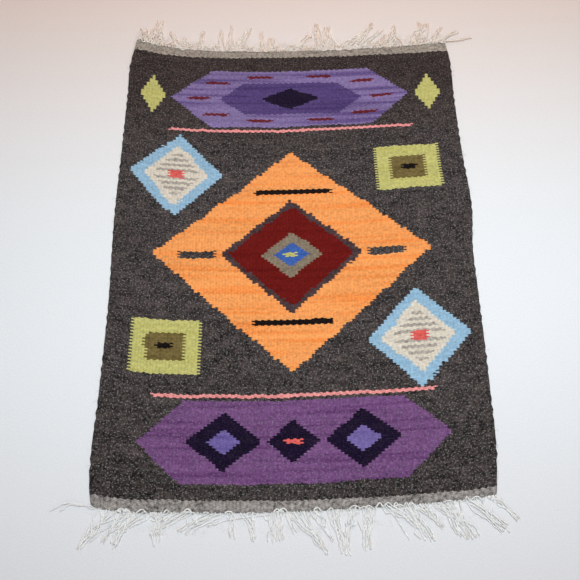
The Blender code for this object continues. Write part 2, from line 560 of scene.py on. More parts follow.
class Effect(Board):
    """A shader node group with named inputs and outputs, built once and placed in any material."""

    title = "effect"
    takes: tuple = ()
    gives: tuple = ()

    def __init__(self) -> None:
        """Makes the group and its sockets, and lets the subclass draw what is between them."""
        super().__init__(bpy.data.node_groups.new(self.title, "ShaderNodeTree"))
        for direction, sockets in (("INPUT", self.takes), ("OUTPUT", self.gives)):
            for name, kind in sockets:
                self.tree.interface.new_socket(name, in_out=direction, socket_type="NodeSocket" + kind)
        self.entry = self.add("NodeGroupInput")
        self.exit = self.add("NodeGroupOutput")
        self.draw()

    def given(self, name: str) -> Value:
        """One of the group's inputs."""
        return self.read(self.entry, name)

    def give(self, name: str, source: "Value | bpy.types.NodeSocket") -> None:
        """Sets one of the group's outputs."""
        self.link(source, self.exit.inputs[name])

    def draw(self) -> None:
        """Adds the nodes between the inputs and the outputs."""

    def place(self, board: Board, **links: "Value | bpy.types.NodeSocket | tuple") -> bpy.types.Node:
        """Places the group in a material.

        Args:
            board: the material's board.
            links: what goes into each input, by its name with _ for a blank: an output or a plain colour.

        Returns:
            The group's node.
        """
        node = board.add("ShaderNodeGroup")
        node.node_tree = self.tree
        for name, source in links.items():
            socket = node.inputs[name.replace("_", " ")]
            if isinstance(source, tuple):
                socket.default_value = (*source, 1.0)
            else:
                board.link(source, socket)
        return node


@dataclass(frozen=True)
class Dye:
    """One lot of weft yarn.

    Args:
        colour: its mean colour, as 8-bit sRGB.
        heather: how unlike its fibres are, from 0 to 1.
        streak: how much its shade drifts from pick to pick, from 0 to 1.
        fleck: how many pale flecks show in it, from 0 to 1.
    """

    colour: tuple[int, int, int]
    heather: float
    streak: float
    fleck: float


def linear(colour: tuple[int, int, int]) -> tuple[float, float, float]:
    """An 8-bit sRGB colour as linear light."""
    shares = [part / 255 for part in colour]
    return tuple(s / 12.92 if s <= 0.04045 else ((s + 0.055) / 1.055) ** 2.4 for s in shares)


class Wool(Enum):
    """The weft yarns, in the order in which the chart numbers them."""

    CHARCOAL = Dye((62, 56, 55), 0.95, 0.20, 0.48)
    NEAR_GREY = Dye((155, 149, 145), 0.65, 0.20, 0.70)
    FAR_GREY = Dye((171, 160, 148), 0.65, 0.20, 0.45)
    LILAC = Dye((136, 118, 167), 0.18, 0.80, 0.09)
    VIOLET = Dye((87, 68, 124), 0.22, 0.35, 0.14)
    NIGHT_PLUM = Dye((24, 10, 42), 0.30, 0.15, 0.05)
    WINE = Dye((110, 18, 14), 0.14, 0.20, 0.01)
    RUST = Dye((108, 34, 40), 0.20, 0.15, 0.02)
    CORAL = Dye((226, 100, 95), 0.14, 0.20, 0.00)
    ROSE = Dye((240, 156, 154), 0.14, 0.20, 0.00)
    CHARTREUSE = Dye((201, 197, 122), 0.10, 0.25, 0.00)
    OLIVE = Dye((118, 103, 60), 0.30, 0.20, 0.05)
    CREAM = Dye((225, 216, 201), 0.07, 0.10, 0.00)
    ASH = Dye((178, 170, 160), 0.30, 0.10, 0.05)
    SKY = Dye((156, 193, 219), 0.09, 0.20, 0.00)
    BLUE = Dye((62, 100, 176), 0.14, 0.15, 0.00)
    PLUM = Dye((119, 79, 129), 0.24, 0.40, 0.30)
    UMBER = Dye((76, 58, 61), 0.35, 0.30, 0.10)
    TAUPE = Dye((137, 124, 106), 0.20, 0.15, 0.04)
    ORANGE = Dye((253, 166, 96), 0.08, 0.46, 0.00)
    BLACK = Dye((18, 9, 8), 0.30, 0.05, 0.02)
    IRIS = Dye((120, 105, 168), 0.14, 0.35, 0.04)

    @property
    def number(self) -> int:
        """Its number in the chart."""
        return list(Wool).index(self)


class Shape(Enum):
    """The forms that a motif can have."""

    BAR = "bar"  # a rectangle, toothed at its two sides
    LOZENGE = "lozenge"
    STEPPED = "stepped"  # a lozenge in steps of a few picks
    HEXAGON = "hexagon"  # long, with a point at each side
    STRIPES = "stripes"  # a lozenge of thin stripes


class Repeat(Enum):
    """Where a motif's twin lies."""

    MIRRORED = "mirrored"  # left and right
    TURNED = "turned"  # half a turn around the chart's middle


@dataclass(frozen=True)
class Motif:
    """One layer of the chart, in woven metres from the chart's middle.

    Args:
        shape: its form.
        wool: its yarn.
        u: its middle across.
        v: its middle along.
        wide: half its width.
        long: half its length.
        step: the height of its steps or stripes, or how far a hexagon's points draw in.
        repeat: where its twin lies.
    """

    shape: Shape
    wool: Wool
    u: float
    v: float
    wide: float
    long: float
    step: float = 0.0
    repeat: Repeat = Repeat.MIRRORED


CHART_MIDDLE = -0.012
STEP = 0.0055
STRIPE = 0.011

CHART = (
    Motif(Shape.HEXAGON, Wool.LILAC, 0.0, 0.342, 0.222, 0.067, 0.075),
    Motif(Shape.HEXAGON, Wool.VIOLET, 0.0, 0.342, 0.132, 0.037, 0.045),
    Motif(Shape.LOZENGE, Wool.NIGHT_PLUM, 0.0, 0.342, 0.056, 0.025),
    Motif(Shape.BAR, Wool.RUST, 0.055, 0.394, 0.022, 0.0030),
    Motif(Shape.BAR, Wool.RUST, 0.136, 0.380, 0.022, 0.0030),
    Motif(Shape.BAR, Wool.RUST, 0.170, 0.342, 0.020, 0.0030),
    Motif(Shape.BAR, Wool.RUST, 0.136, 0.304, 0.022, 0.0030),
    Motif(Shape.BAR, Wool.RUST, 0.055, 0.290, 0.022, 0.0030),
    Motif(Shape.LOZENGE, Wool.CHARTREUSE, 0.257, 0.342, 0.024, 0.044),
    Motif(Shape.BAR, Wool.ROSE, 0.0, 0.266, 0.222, 0.0028),
    Motif(Shape.STEPPED, Wool.ORANGE, 0.0, 0.0, 0.236, 0.216, STEP),
    Motif(Shape.BAR, Wool.BLACK, 0.0, 0.128, 0.066, 0.0050),
    Motif(Shape.BAR, Wool.BLACK, 0.0, -0.128, 0.066, 0.0050),
    Motif(Shape.BAR, Wool.CHARCOAL, 0.162, 0.0, 0.030, 0.0070),
    Motif(Shape.STEPPED, Wool.UMBER, 0.0, 0.0, 0.122, 0.110, STEP),
    Motif(Shape.STEPPED, Wool.WINE, 0.0, 0.0, 0.108, 0.098, STEP),
    Motif(Shape.LOZENGE, Wool.TAUPE, 0.0, 0.0, 0.052, 0.046),
    Motif(Shape.LOZENGE, Wool.BLUE, 0.0, 0.0, 0.030, 0.025),
    Motif(Shape.BAR, Wool.CHARTREUSE, 0.0, 0.0, 0.010, 0.0040),
    Motif(Shape.STEPPED, Wool.SKY, -0.203, 0.165, 0.084, 0.088, STEP, Repeat.TURNED),
    Motif(Shape.STEPPED, Wool.CREAM, -0.203, 0.165, 0.060, 0.066, STEP, Repeat.TURNED),
    Motif(Shape.STRIPES, Wool.ASH, -0.203, 0.165, 0.046, 0.050, STRIPE, Repeat.TURNED),
    Motif(Shape.BAR, Wool.CORAL, -0.203, 0.165, 0.013, 0.0085, 0.0, Repeat.TURNED),
    Motif(Shape.BAR, Wool.CHARTREUSE, 0.207, 0.172, 0.056, 0.047, 0.0, Repeat.TURNED),
    Motif(Shape.BAR, Wool.OLIVE, 0.207, 0.172, 0.031, 0.024, 0.0, Repeat.TURNED),
    Motif(Shape.BAR, Wool.BLACK, 0.207, 0.172, 0.012, 0.0050, 0.0, Repeat.TURNED),
    Motif(Shape.HEXAGON, Wool.PLUM, 0.0, -0.330, 0.240, 0.066, 0.070),
    Motif(Shape.LOZENGE, Wool.NIGHT_PLUM, 0.106, -0.330, 0.058, 0.048),
    Motif(Shape.LOZENGE, Wool.IRIS, 0.106, -0.330, 0.026, 0.021),
    Motif(Shape.LOZENGE, Wool.NIGHT_PLUM, 0.0, -0.330, 0.040, 0.036),
    Motif(Shape.BAR, Wool.CORAL, 0.0, -0.330, 0.012, 0.0040),
    Motif(Shape.BAR, Wool.ROSE, 0.0, -0.256, 0.222, 0.0028),
)


class BeadGrid(Effect):
    """Cuts the weave into beads: each is one turn of weft over one warp, half a bead out on the next."""

    title = "bead grid"
    takes = (("Weave", "Vector"),)
    gives = (
        ("Bead U", "Float"),
        ("Bead V", "Float"),
        ("Toothed U", "Float"),
        ("Across Bead", "Float"),
        ("Along Bead", "Float"),
        ("Chance", "Float"),
        ("Second Chance", "Float"),
        ("Pick Chance", "Float"),
    )

    tooth_share = 0.98  # how much of a warp the teeth of an upright colour edge reach
    unevenness = 0.0009  # how far the beat pushes the beads along, in metres
    unevenness_scale = 60.0
    fray = 0.0016  # how far single fibres stray over a bead's edge, in metres
    fray_scale = 750.0
    fray_layer = 4.0  # so that they don't stray alike across and along
    overlap = 0.2  # how much of a warp a bead's two ends reach between its neighbours

    def draw(self) -> None:
        """Numbers the beads and finds each point's place in its bead."""
        weave = self.entry.outputs["Weave"]
        u, v, _ = self.split(weave)
        beat = self.noise(weave, self.unevenness_scale, 1.0) - 0.5
        u = u + (self.noise(weave, self.fray_scale) - 0.5) * self.fray
        v = v + (self.noise(self.join(u, v, self.fray_layer), self.fray_scale) - 0.5) * self.fray
        height = (v + beat * self.unevenness) / BEAD_PITCH
        warp = u / WARP_PITCH + WARPS / 2
        border = (warp + 0.5).floor()
        sway = 1.0 - abs(height.wrap(1.0) * 2.0 - 1.0) * 2.0
        reach = (1.0 - abs(warp - border) * 2.0) * (1.0 - border.wrap(2.0) * 2.0)
        warp = warp + sway * reach * self.overlap
        column = warp.floor()
        odd = column.wrap(2.0)
        pick = height - odd * 0.5
        row = pick.floor()
        bead_u = (column + (0.5 - WARPS / 2)) * WARP_PITCH
        self.give("Bead U", bead_u)
        self.give("Bead V", (row + odd * 0.5 + 0.5) * BEAD_PITCH)
        self.give("Toothed U", bead_u + (row.wrap(2.0) - 0.5) * (WARP_PITCH * self.tooth_share))
        self.give("Across Bead", (warp - column) * 2.0 - 1.0)
        self.give("Along Bead", (pick - row) * 2.0 - 1.0)
        chance, second, _ = self.chances(self.join(column, row))
        self.give("Chance", chance)
        self.give("Second Chance", second)
        pick_chance, _, _ = self.chances(self.join(row * 2.0 + odd, 0.5))
        self.give("Pick Chance", pick_chance)


class Pattern(Effect):
    """The chart: which wool each bead is woven in, as a place on the dye ramps."""

    title = "chart"
    takes = (("Bead U", "Float"), ("Bead V", "Float"), ("Toothed U", "Float"))
    gives = (("Wool", "Float"),)

    wander = 0.0035  # how far the weaver strays from the chart, in metres
    wander_u = Grain(14.0, 1.0, 1.0, 1.0, 0.0)
    wander_v = Grain(14.0, 1.0, 1.0, 1.0, 3.0)
    far_widening = 0.055  # how much wider the far band is, for each square metre off the middle line
    near_widening = 0.010  # how much wider the near band is, for each metre to the left
    near_lack = 0.0013  # how much narrower the near band is in its middle

    def draw(self) -> None:
        """Lays the motifs over each other, the first one lowest."""
        u, v, toothed = self.given("Bead U"), self.given("Bead V"), self.given("Toothed U")
        stray_u = (self.grain(self.wander_u, u, v) - 0.5) * (2 * self.wander)
        stray_v = (self.grain(self.wander_v, u, v) - 0.5) * (2 * self.wander)
        far_band = v > (HALF_LONG - BAND) - u * u * self.far_widening
        near_band = v < (BAND - HALF_LONG - self.near_lack) - u * self.near_widening
        u, toothed = u + stray_u, toothed + stray_u
        v = v + stray_v - CHART_MIDDLE
        side = (v > 0.0) * 2.0 - 1.0
        places = {
            Repeat.MIRRORED: (abs(u), v, abs(toothed)),
            Repeat.TURNED: (u * side, abs(v), toothed * side),
        }
        number = near_band * float(Wool.NEAR_GREY.number) + far_band * float(Wool.FAR_GREY.number)
        for motif in CHART:
            mask = self.mask(motif, *places[motif.repeat])
            number = mask.math("MULTIPLY_ADD", motif.wool.number - number, number)
        self.give("Wool", (number + 0.5) / len(Wool))

    def mask(self, motif: Motif, u: Value, v: Value, toothed: Value) -> Value:
        """Where one motif covers the cloth.

        Args:
            motif: the motif.
            u: the bead's place across, folded onto the motif's side.
            v: the bead's place along.
            toothed: as u, but half a warp to and fro on alternate picks.

        Returns:
            1 inside the motif and 0 outside it.
        """
        away_u, away_v = abs(u - motif.u), abs(v - motif.v)
        toothed_u = abs(toothed - motif.u)
        if motif.shape is Shape.BAR:
            return (toothed_u < motif.wide) * (away_v < motif.long)
        if motif.shape is Shape.HEXAGON:
            point = away_v * (motif.step / motif.long)
            return (away_v < motif.long) * (away_u + point < motif.wide)
        if motif.shape is Shape.STEPPED:
            stepped = ((away_v / motif.step).floor() + 0.5) * motif.step
            return away_u / motif.wide + stepped / motif.long < 1.0
        inside = away_u / motif.wide + away_v / motif.long < 1.0
        if motif.shape is Shape.STRIPES:
            return inside * ((away_v / motif.step).wrap(1.0) > 0.5)
        return inside


class Heather(Effect):
    """Wool's own unevenness, unlike fibres, drifting shades and pale flecks, with painted light and shade.

    The tone is 1 for a yarn's mean colour, and each share says how much of its layer shows in the tone.
    """

    title = "heather"
    takes = (
        ("Color", "Color"),
        ("Weave", "Vector"),
        ("Bead V", "Float"),
        ("Chance", "Float"),
        ("Second Chance", "Float"),
        ("Pick Chance", "Float"),
        ("Relief", "Float"),
        ("Heather", "Float"),
        ("Streak", "Float"),
        ("Fleck", "Float"),
    )
    gives = (("Color", "Color"), ("Fibres", "Float"))

    # Layers of noise, from a fibre to a whole lot of yarn
    fibres = Grain(230.0, 2.5, 0.85, 0.85, 0.0)
    specks = Grain(430.0, 1.0, 0.85, 0.85, 2.0)
    clouds = Grain(60.0, 2.0, 0.8, 1.0, 5.0)
    drift = Grain(46.0, 3.0, 0.06, 1.0, 9.0)
    picks = Grain(130.0, 2.0, 0.03, 1.0, 7.0)
    lots = Grain(9.0, 2.0, 0.5, 1.0, 11.0)
    # The tone
    bead_share = 0.3
    fibre_share = 3.4
    cloud_share = 2.2
    lot_share = 0.8
    pick_share = 0.12
    plain_fibre_share = 0.6  # in every yarn, however little it is heathered
    painted_middle_light = 0.14  # painted pool of light: how much lighter the cloth's middle is
    painted_end_shade = 1.5  # painted shade: how the tone falls off from there towards both ends, for each square metre
    darkest = 0.22
    hollow_tone = 0.83  # painted shade where a bead meets its neighbours
    painted_groove_shade_depth = 0.24  # how much lighter its crest is than that painted shade
    # The colours that join the yarn's own, with the range of the noise that brings each in
    streak_range = (0.48, 0.66)
    streak_depth = 0.55  # how much deeper the colour of a streaked pick is
    brown = (86, 72, 66)
    brown_range = (0.45, 0.70)
    brown_share = 0.15
    painted_far_warm_shade = (57, 38, 33)  # painted warm shade: what the darkest wool turns towards at the far end, where the light is dimmer and warmer
    far_range = (0.14, 0.42)  # where along the cloth it does
    far_share = 1.7
    far_wools = 0.7  # which wools do: the ones more heathered than this
    far_calm = 0.4  # how much evener the heather is there
    fleck_colour = (186, 184, 186)
    fleck_range = (0.54, 0.72)
    fleck_share = 0.6
    fleck_strength = 1.3
    pale_beads = 0.985  # above this chance, a whole bead is a fleck
    pale_bead_strength = 30.0

    def draw(self) -> None:
        """Works out a tone with painted shade between the beads and a painted pool of light in the middle,
        then adds the streaks, the browns, the far end's painted warm shade and the flecks.
        """
        u, v, _ = self.split(self.entry.outputs["Weave"])
        row = self.given("Bead V")
        fibres = self.grain(self.fibres, u, v)
        specks = self.grain(self.specks, u, v)
        clouds = self.grain(self.clouds, u, v)
        drift = self.grain(self.drift, u, row)
        picks = self.grain(self.picks, u, row)
        lots = self.grain(self.lots, u, v)
        heather, streak, flecks = (self.given(name) for name in ("Heather", "Streak", "Fleck"))
        far = v.between(*self.far_range)
        calm = 1.0 - far * self.far_calm
        tone = (self.given("Chance") - 0.5) * self.bead_share
        tone = tone + (fibres - 0.5) * self.fibre_share + (clouds - 0.5) * self.cloud_share
        tone = heather * calm * tone
        tone = tone + heather * (lots - 0.5) * self.lot_share
        # painted pool of light: the heathered wools are lighter in the cloth's middle and darker towards
        # its ends
        tone = tone + heather * (self.painted_middle_light - v * v * self.painted_end_shade)
        tone = tone + streak * (drift - 0.5 + (self.given("Pick Chance") - 0.5) * self.pick_share)
        tone = tone + (fibres - 0.5) * self.plain_fibre_share + 1.0
        # painted shade: darker in the hollows where the beads meet, lighter on their crests
        hollows = self.given("Relief") * self.painted_groove_shade_depth + self.hollow_tone
        tone = tone.math("MAXIMUM", self.darkest) * hollows
        deep = self.add("ShaderNodeGamma")
        self.link(self.entry.outputs["Color"], deep.inputs["Color"])
        depth = picks.between(*self.streak_range) * streak * self.streak_depth + 1.0
        self.link(depth, deep.inputs["Gamma"])
        brown_and_painted_warm_shade = clouds.between(*self.brown_range) * heather * self.brown_share
        colour = self.mix(brown_and_painted_warm_shade, deep.outputs["Color"], linear(self.brown))
        # painted warm shade: the darkest wools turn darker and browner towards the far end
        brown_and_painted_warm_shade = far * (heather - self.far_wools).math("MAXIMUM", 0.0) * self.far_share
        colour = self.shade(self.mix(brown_and_painted_warm_shade, colour, linear(self.painted_far_warm_shade)), tone)
        fleck = specks.between(*self.fleck_range) * flecks * calm * self.fleck_strength
        pale_bead = (self.given("Second Chance") - self.pale_beads) * self.pale_bead_strength * flecks
        fleck = fleck.math("MAXIMUM", pale_bead)
        self.give("Color", self.mix(fleck * self.fleck_share, colour, linear(self.fleck_colour)))
        self.give("Fibres", fibres)


class BeadRelief(Effect):
    """The raised form of a bead: highest in its middle, lowest where it meets its neighbours."""

    title = "bead relief"
    takes = (("Across Bead", "Float"), ("Along Bead", "Float"))
    gives = (("Relief", "Float"),)

    slant = 0.30  # how far the yarn's twist tilts a bead
    end_drop = 0.45  # how much lower a bead is where it meets the next warp's

    def draw(self) -> None:
        """Rounds the bead along the warp more than across it."""
        across = self.given("Across Bead")
        along = self.given("Along Bead") + across * self.slant
        ridge = (1.0 - along * along).math("MAXIMUM", 0.0).power(0.5)
        swell = 1.0 - across * across * self.end_drop
        self.give("Relief", ridge * swell)


class SpunShade(Effect):
    """The colour of undyed spun yarn: pale fibres, darker ones and a soiled tip."""

    title = "spun shade"
    takes = (
        ("Pale", "Color"),
        ("Shadow", "Color"),
        ("Soiled", "Color"),
        ("Place", "Vector"),
        ("Along", "Float"),
        ("Chance", "Float"),
    )
    gives = (("Color", "Color"), ("Fibres", "Float"))

    fibre_scale = 1400.0
    fibre_detail = 3.0
    patch_scale = 90.0
    fibre_share = 0.6
    patch_share = 0.5
    chance_share = 0.35
    shadow_range = (0.62, 1.05)
    tip_range = (0.70, 1.0)  # where along the yarn its tip starts to be soiled, and where it is wholly
    tip_patches = (0.5, 0.95)
    tip_chance = 0.5
    tip_share = 0.5

    def draw(self) -> None:
        """Mixes the three colours by fine noise, broad noise and each yarn's own chance."""
        pale, shadow, soiled, place = (self.entry.outputs[name] for name, _ in self.takes[:4])
        along, chance = self.given("Along"), self.given("Chance")
        fibres = self.noise(place, self.fibre_scale, self.fibre_detail)
        patches = self.noise(place, self.patch_scale)
        share = fibres * self.fibre_share + patches * self.patch_share + chance * self.chance_share
        colour = self.mix(share.between(*self.shadow_range), pale, shadow)
        patchy = (patches + chance * self.tip_chance).between(*self.tip_patches)
        tip = along.between(*self.tip_range) * patchy * self.tip_share
        self.give("Color", self.mix(tip, colour, soiled))
        self.give("Fibres", fibres)


class Finish:
    """A material with its shader and its board of nodes."""

    title = "finish"
    roughness = 0.95
    specular = 0.08
    sheen = 0.05
    sheen_roughness = 0.5
    sheen_tint = (1.0, 1.0, 1.0)

    def __init__(self) -> None:
        """Makes the material and lets the subclass dress it."""
        self.material = bpy.data.materials.new(self.title)
        self.material.use_nodes = True
        self.board = Board(self.material.node_tree)
        self.shader = self.material.node_tree.nodes["Principled BSDF"]
        self.shader.inputs["Roughness"].default_value = self.roughness
        self.shader.inputs["Specular IOR Level"].default_value = self.specular
        self.shader.inputs["Sheen Weight"].default_value = self.sheen
        self.shader.inputs["Sheen Roughness"].default_value = self.sheen_roughness
        self.shader.inputs["Sheen Tint"].default_value = (*self.sheen_tint, 1.0)
        self.dress()

    def dress(self) -> None:
        """Adds the nodes that feed the shader."""

    def bump(self, height: Value, distance: float, strength: float = 1.0) -> None:
        """Feeds the shader's normal from a height.

        Args:
            height: the height, from 0 to 1.
            distance: what a height of 1 measures, in metres.
            strength: how much of it shows.
        """
        node = self.board.add("ShaderNodeBump")
        node.inputs["Distance"].default_value = distance
        node.inputs["Strength"].default_value = strength
        self.board.link(height, node.inputs["Height"])
        self.board.link(node.outputs["Normal"], self.shader.inputs["Normal"])


class DyeRamp(Enum):
    """What a dye ramp holds."""

    COLOUR = "colour"
    TRAITS = "traits"


class TapestryWool(Finish):
    """The woven wool of the panel, on the cloth's own weave map."""

    title = "tapestry wool"
    bead_height = 0.0007
    fibre_height = 0.5  # of a bead's

    def dress(self) -> None:
        """Reads the chart at each bead and finishes it as heathered yarn, with painted light and shade."""
        board = self.board
        weave = board.add("ShaderNodeUVMap", uv_map="weave").outputs["UV"]
        grid = BeadGrid().place(board, Weave=weave)
        bead = {name: grid.outputs[name] for name, _ in BeadGrid.gives}
        places = {key.replace(" ", "_"): bead[key] for key in ("Bead U", "Bead V", "Toothed U")}
        chart = Pattern().place(board, **places).outputs["Wool"]
        relief = BeadRelief().place(board, Across_Bead=bead["Across Bead"], Along_Bead=bead["Along Bead"])
        traits = board.split(self.ramp(DyeRamp.TRAITS, chart))
        heather = Heather().place(
            board,
            Color=self.ramp(DyeRamp.COLOUR, chart),
            Weave=weave,
            Bead_V=bead["Bead V"],
            Chance=bead["Chance"],
            Second_Chance=bead["Second Chance"],
            Pick_Chance=bead["Pick Chance"],
            Relief=relief.outputs["Relief"],
            Heather=traits[0],
            Streak=traits[1],
            Fleck=traits[2],
        )
        board.link(heather.outputs["Color"], self.shader.inputs["Base Color"])
        height = board.read(relief, "Relief") + board.read(heather, "Fibres") * self.fibre_height
        self.bump(height, self.bead_height)

    def ramp(self, held: DyeRamp, place: bpy.types.NodeSocket) -> bpy.types.NodeSocket:
        """A ramp with one even step for each wool.

        Args:
            held: whether it holds the dyes' colours or their three traits.
            place: where on the ramp each point is.

        Returns:
            The ramp's colour.
        """
        node = self.board.add("ShaderNodeValToRGB")
        ramp = node.color_ramp
        ramp.interpolation = "CONSTANT"
        for number, wool in enumerate(Wool):
            stop = ramp.elements[0] if number == 0 else ramp.elements.new(number / len(Wool))
            dye = wool.value
            traits = (dye.heather, dye.streak, dye.fleck)
            stop.color = (*(linear(dye.colour) if held is DyeRamp.COLOUR else traits), 1.0)
        ramp.elements.remove(ramp.elements[-1])
        self.board.link(place, node.inputs[0])
        return node.outputs["Color"]


class WarpYarn(Finish):
    """Undyed plied yarn, a little soiled towards its cut end."""

    title = "undyed warp yarn"
    sheen = 1.0
    fibre_height = 0.0001
    glow = 0.7  # how much of the light goes through the wool
    glow_reach = (1.0, 0.95, 0.9)  # how far its red, green and blue go, as shares of the depth
    glow_depth = 0.0008
    colour = (249, 248, 245)
    shadow = (240, 238, 236)
    soiled = (220, 207, 198)

    def __init__(self, spun: SpunShade) -> None:
        """Keeps the effect that the yarns share, then makes the material."""
        self.spun = spun
        super().__init__()

    def dress(self) -> None:
        """Places the shared effect with this yarn's own colours and lets a little light through it."""
        board = self.board
        along, chance, _ = board.split(board.add("ShaderNodeUVMap", uv_map="yarn").outputs["UV"])
        shade = self.spun.place(
            board,
            Pale=linear(self.colour),
            Shadow=linear(self.shadow),
            Soiled=linear(self.soiled),
            Place=board.add("ShaderNodeTexCoord").outputs["Object"],
            Along=along,
            Chance=chance,
        )
        board.link(shade.outputs["Color"], self.shader.inputs["Base Color"])
        self.bump(board.read(shade, "Fibres"), self.fibre_height)
        self.shader.inputs["Subsurface Weight"].default_value = self.glow
        self.shader.inputs["Subsurface Radius"].default_value = self.glow_reach
        self.shader.inputs["Subsurface Scale"].default_value = self.glow_depth


class BrownedWarpYarnWithPaintedWarmLight(WarpYarn):
    """The warp yarn of the far end, with browner tips; its creamier, pinker colours and warm sheen tint
    are painted warm light.
    """

    title = "browned warp yarn with painted warm light"
    # painted warm light: the sheen tint and the three colours are warmed to the far end's light
    sheen_tint = (1.0, 0.86, 0.76)
    colour = (255, 242, 230)
    shadow = (243, 217, 201)
    soiled = (214, 168, 145)


class LooseFibre(Finish):
    """Single wool fibres that stand off the cloth."""

    title = "loose fibre"
    dark = (84, 76, 72)
    pale = (226, 219, 208)
    pale_range = (0.35, 0.9)

    def dress(self) -> None:
        """Gives each fibre a grey of its own, between the ground's and the warp's."""
        board = self.board
        _, chance, _ = board.split(board.add("ShaderNodeUVMap", uv_map="yarn").outputs["UV"])
        share = chance.between(*self.pale_range)
        colour = board.mix(share, board.plain(self.dark), linear(self.pale))
        board.link(colour, self.shader.inputs["Base Color"])


class PaleFloor(Finish):
    """A plain pale surface with a faint tooth, with painted warm shade towards its far side and painted
    shade towards its near side.
    """

    title = "pale floor"
    roughness = 0.75
    sheen = 0.0
    colour = (237, 241, 245)
    # painted warm shade towards the far side
    far = (229, 208, 195)
    painted_far_shade_rise = (-0.05, 0.9)  # where along Y the painted far shade comes in
    painted_far_shade_fall = (0.9, 1.8)  # and where it goes again
    # painted shade towards the near side
    close = (212, 209, 212)
    painted_near_shade_rise = (0.1, 0.85)  # where towards -Y the painted near shade comes in
    painted_near_shade_lean = 0.06  # how much sooner it comes in on the right, for each metre
    tooth_scale = 420.0
    tooth_detail = 3.0
    tooth_tone = 0.20  # how much lighter its crests are than its hollows
    hollow_tone = 0.90
    tooth_height = 0.0006
    tooth_strength = 0.5

    def dress(self) -> None:
        """Mixes the painted shade along Y and adds the tooth."""
        board = self.board
        place = board.add("ShaderNodeTexCoord").outputs["Object"]
        x, y, _ = board.split(place)
        tooth = board.noise(place, self.tooth_scale, self.tooth_detail)
        # painted shade: warmer and darker towards the far side, darker towards the near side
        far = y.between(*self.painted_far_shade_rise) - y.between(*self.painted_far_shade_fall)
        colour = board.mix(far, board.plain(self.colour), linear(self.far))
        close = (x * self.painted_near_shade_lean - y).between(*self.painted_near_shade_rise)
        colour = board.mix(close, colour, linear(self.close))
        tone = tooth * self.tooth_tone + self.hollow_tone
        board.link(board.shade(colour, tone), self.shader.inputs["Base Color"])
        self.bump(tooth, self.tooth_height, self.tooth_strength)


def read_points(mesh: bpy.types.Mesh) -> np.ndarray:
    """Reads a mesh's points.

    Args:
        mesh: the mesh.

    Returns:
        One row of x, y and z for each point.
    """
    points = np.empty(len(mesh.vertices) * 3, dtype=np.float32)
    mesh.vertices.foreach_get("co", points)
    return points.reshape(-1, 3).astype(float)


def lay_points(mesh: bpy.types.Mesh, places: np.ndarray, map_name: str, shares: np.ndarray) -> None:
    """Moves a mesh's points and gives it a UV map.

    Args:
        mesh: the mesh.
        places: one row of x, y and z for each point.
        map_name: the map's name.
        shares: one row of two numbers for each point.
    """
    mesh.vertices.foreach_set("co", places.astype(np.float32).ravel())
    corner = np.empty(len(mesh.loops), dtype=np.int32)
    mesh.loops.foreach_get("vertex_index", corner)
    mesh.uv_layers.new(name=map_name).uv.foreach_set("vector", shares[corner].astype(np.float32).ravel())
    mesh.update()


def add_piece(
    name: str, mesh: bpy.types.Mesh, finish: Finish, body: str | None = "root"
) -> bpy.types.Object:
    """Makes an object of a finished mesh, dresses it and lets it ride.

    Args:
        name: the piece's name.
        mesh: its mesh, already in its place.
        finish: its finish.
        body: the body that it rides on, or None for what isn't part of the tapestry.

    Returns:
        The object.
    """
    mesh.materials.append(finish.material)
    for polygon in mesh.polygons:
        polygon.use_smooth = True
    piece = bpy.data.objects.new(name, mesh)
    bpy.context.scene.collection.objects.link(piece)
    if body:
        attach(piece, body)
    log.info("%s: %d faces", name, len(mesh.polygons))
    return piece


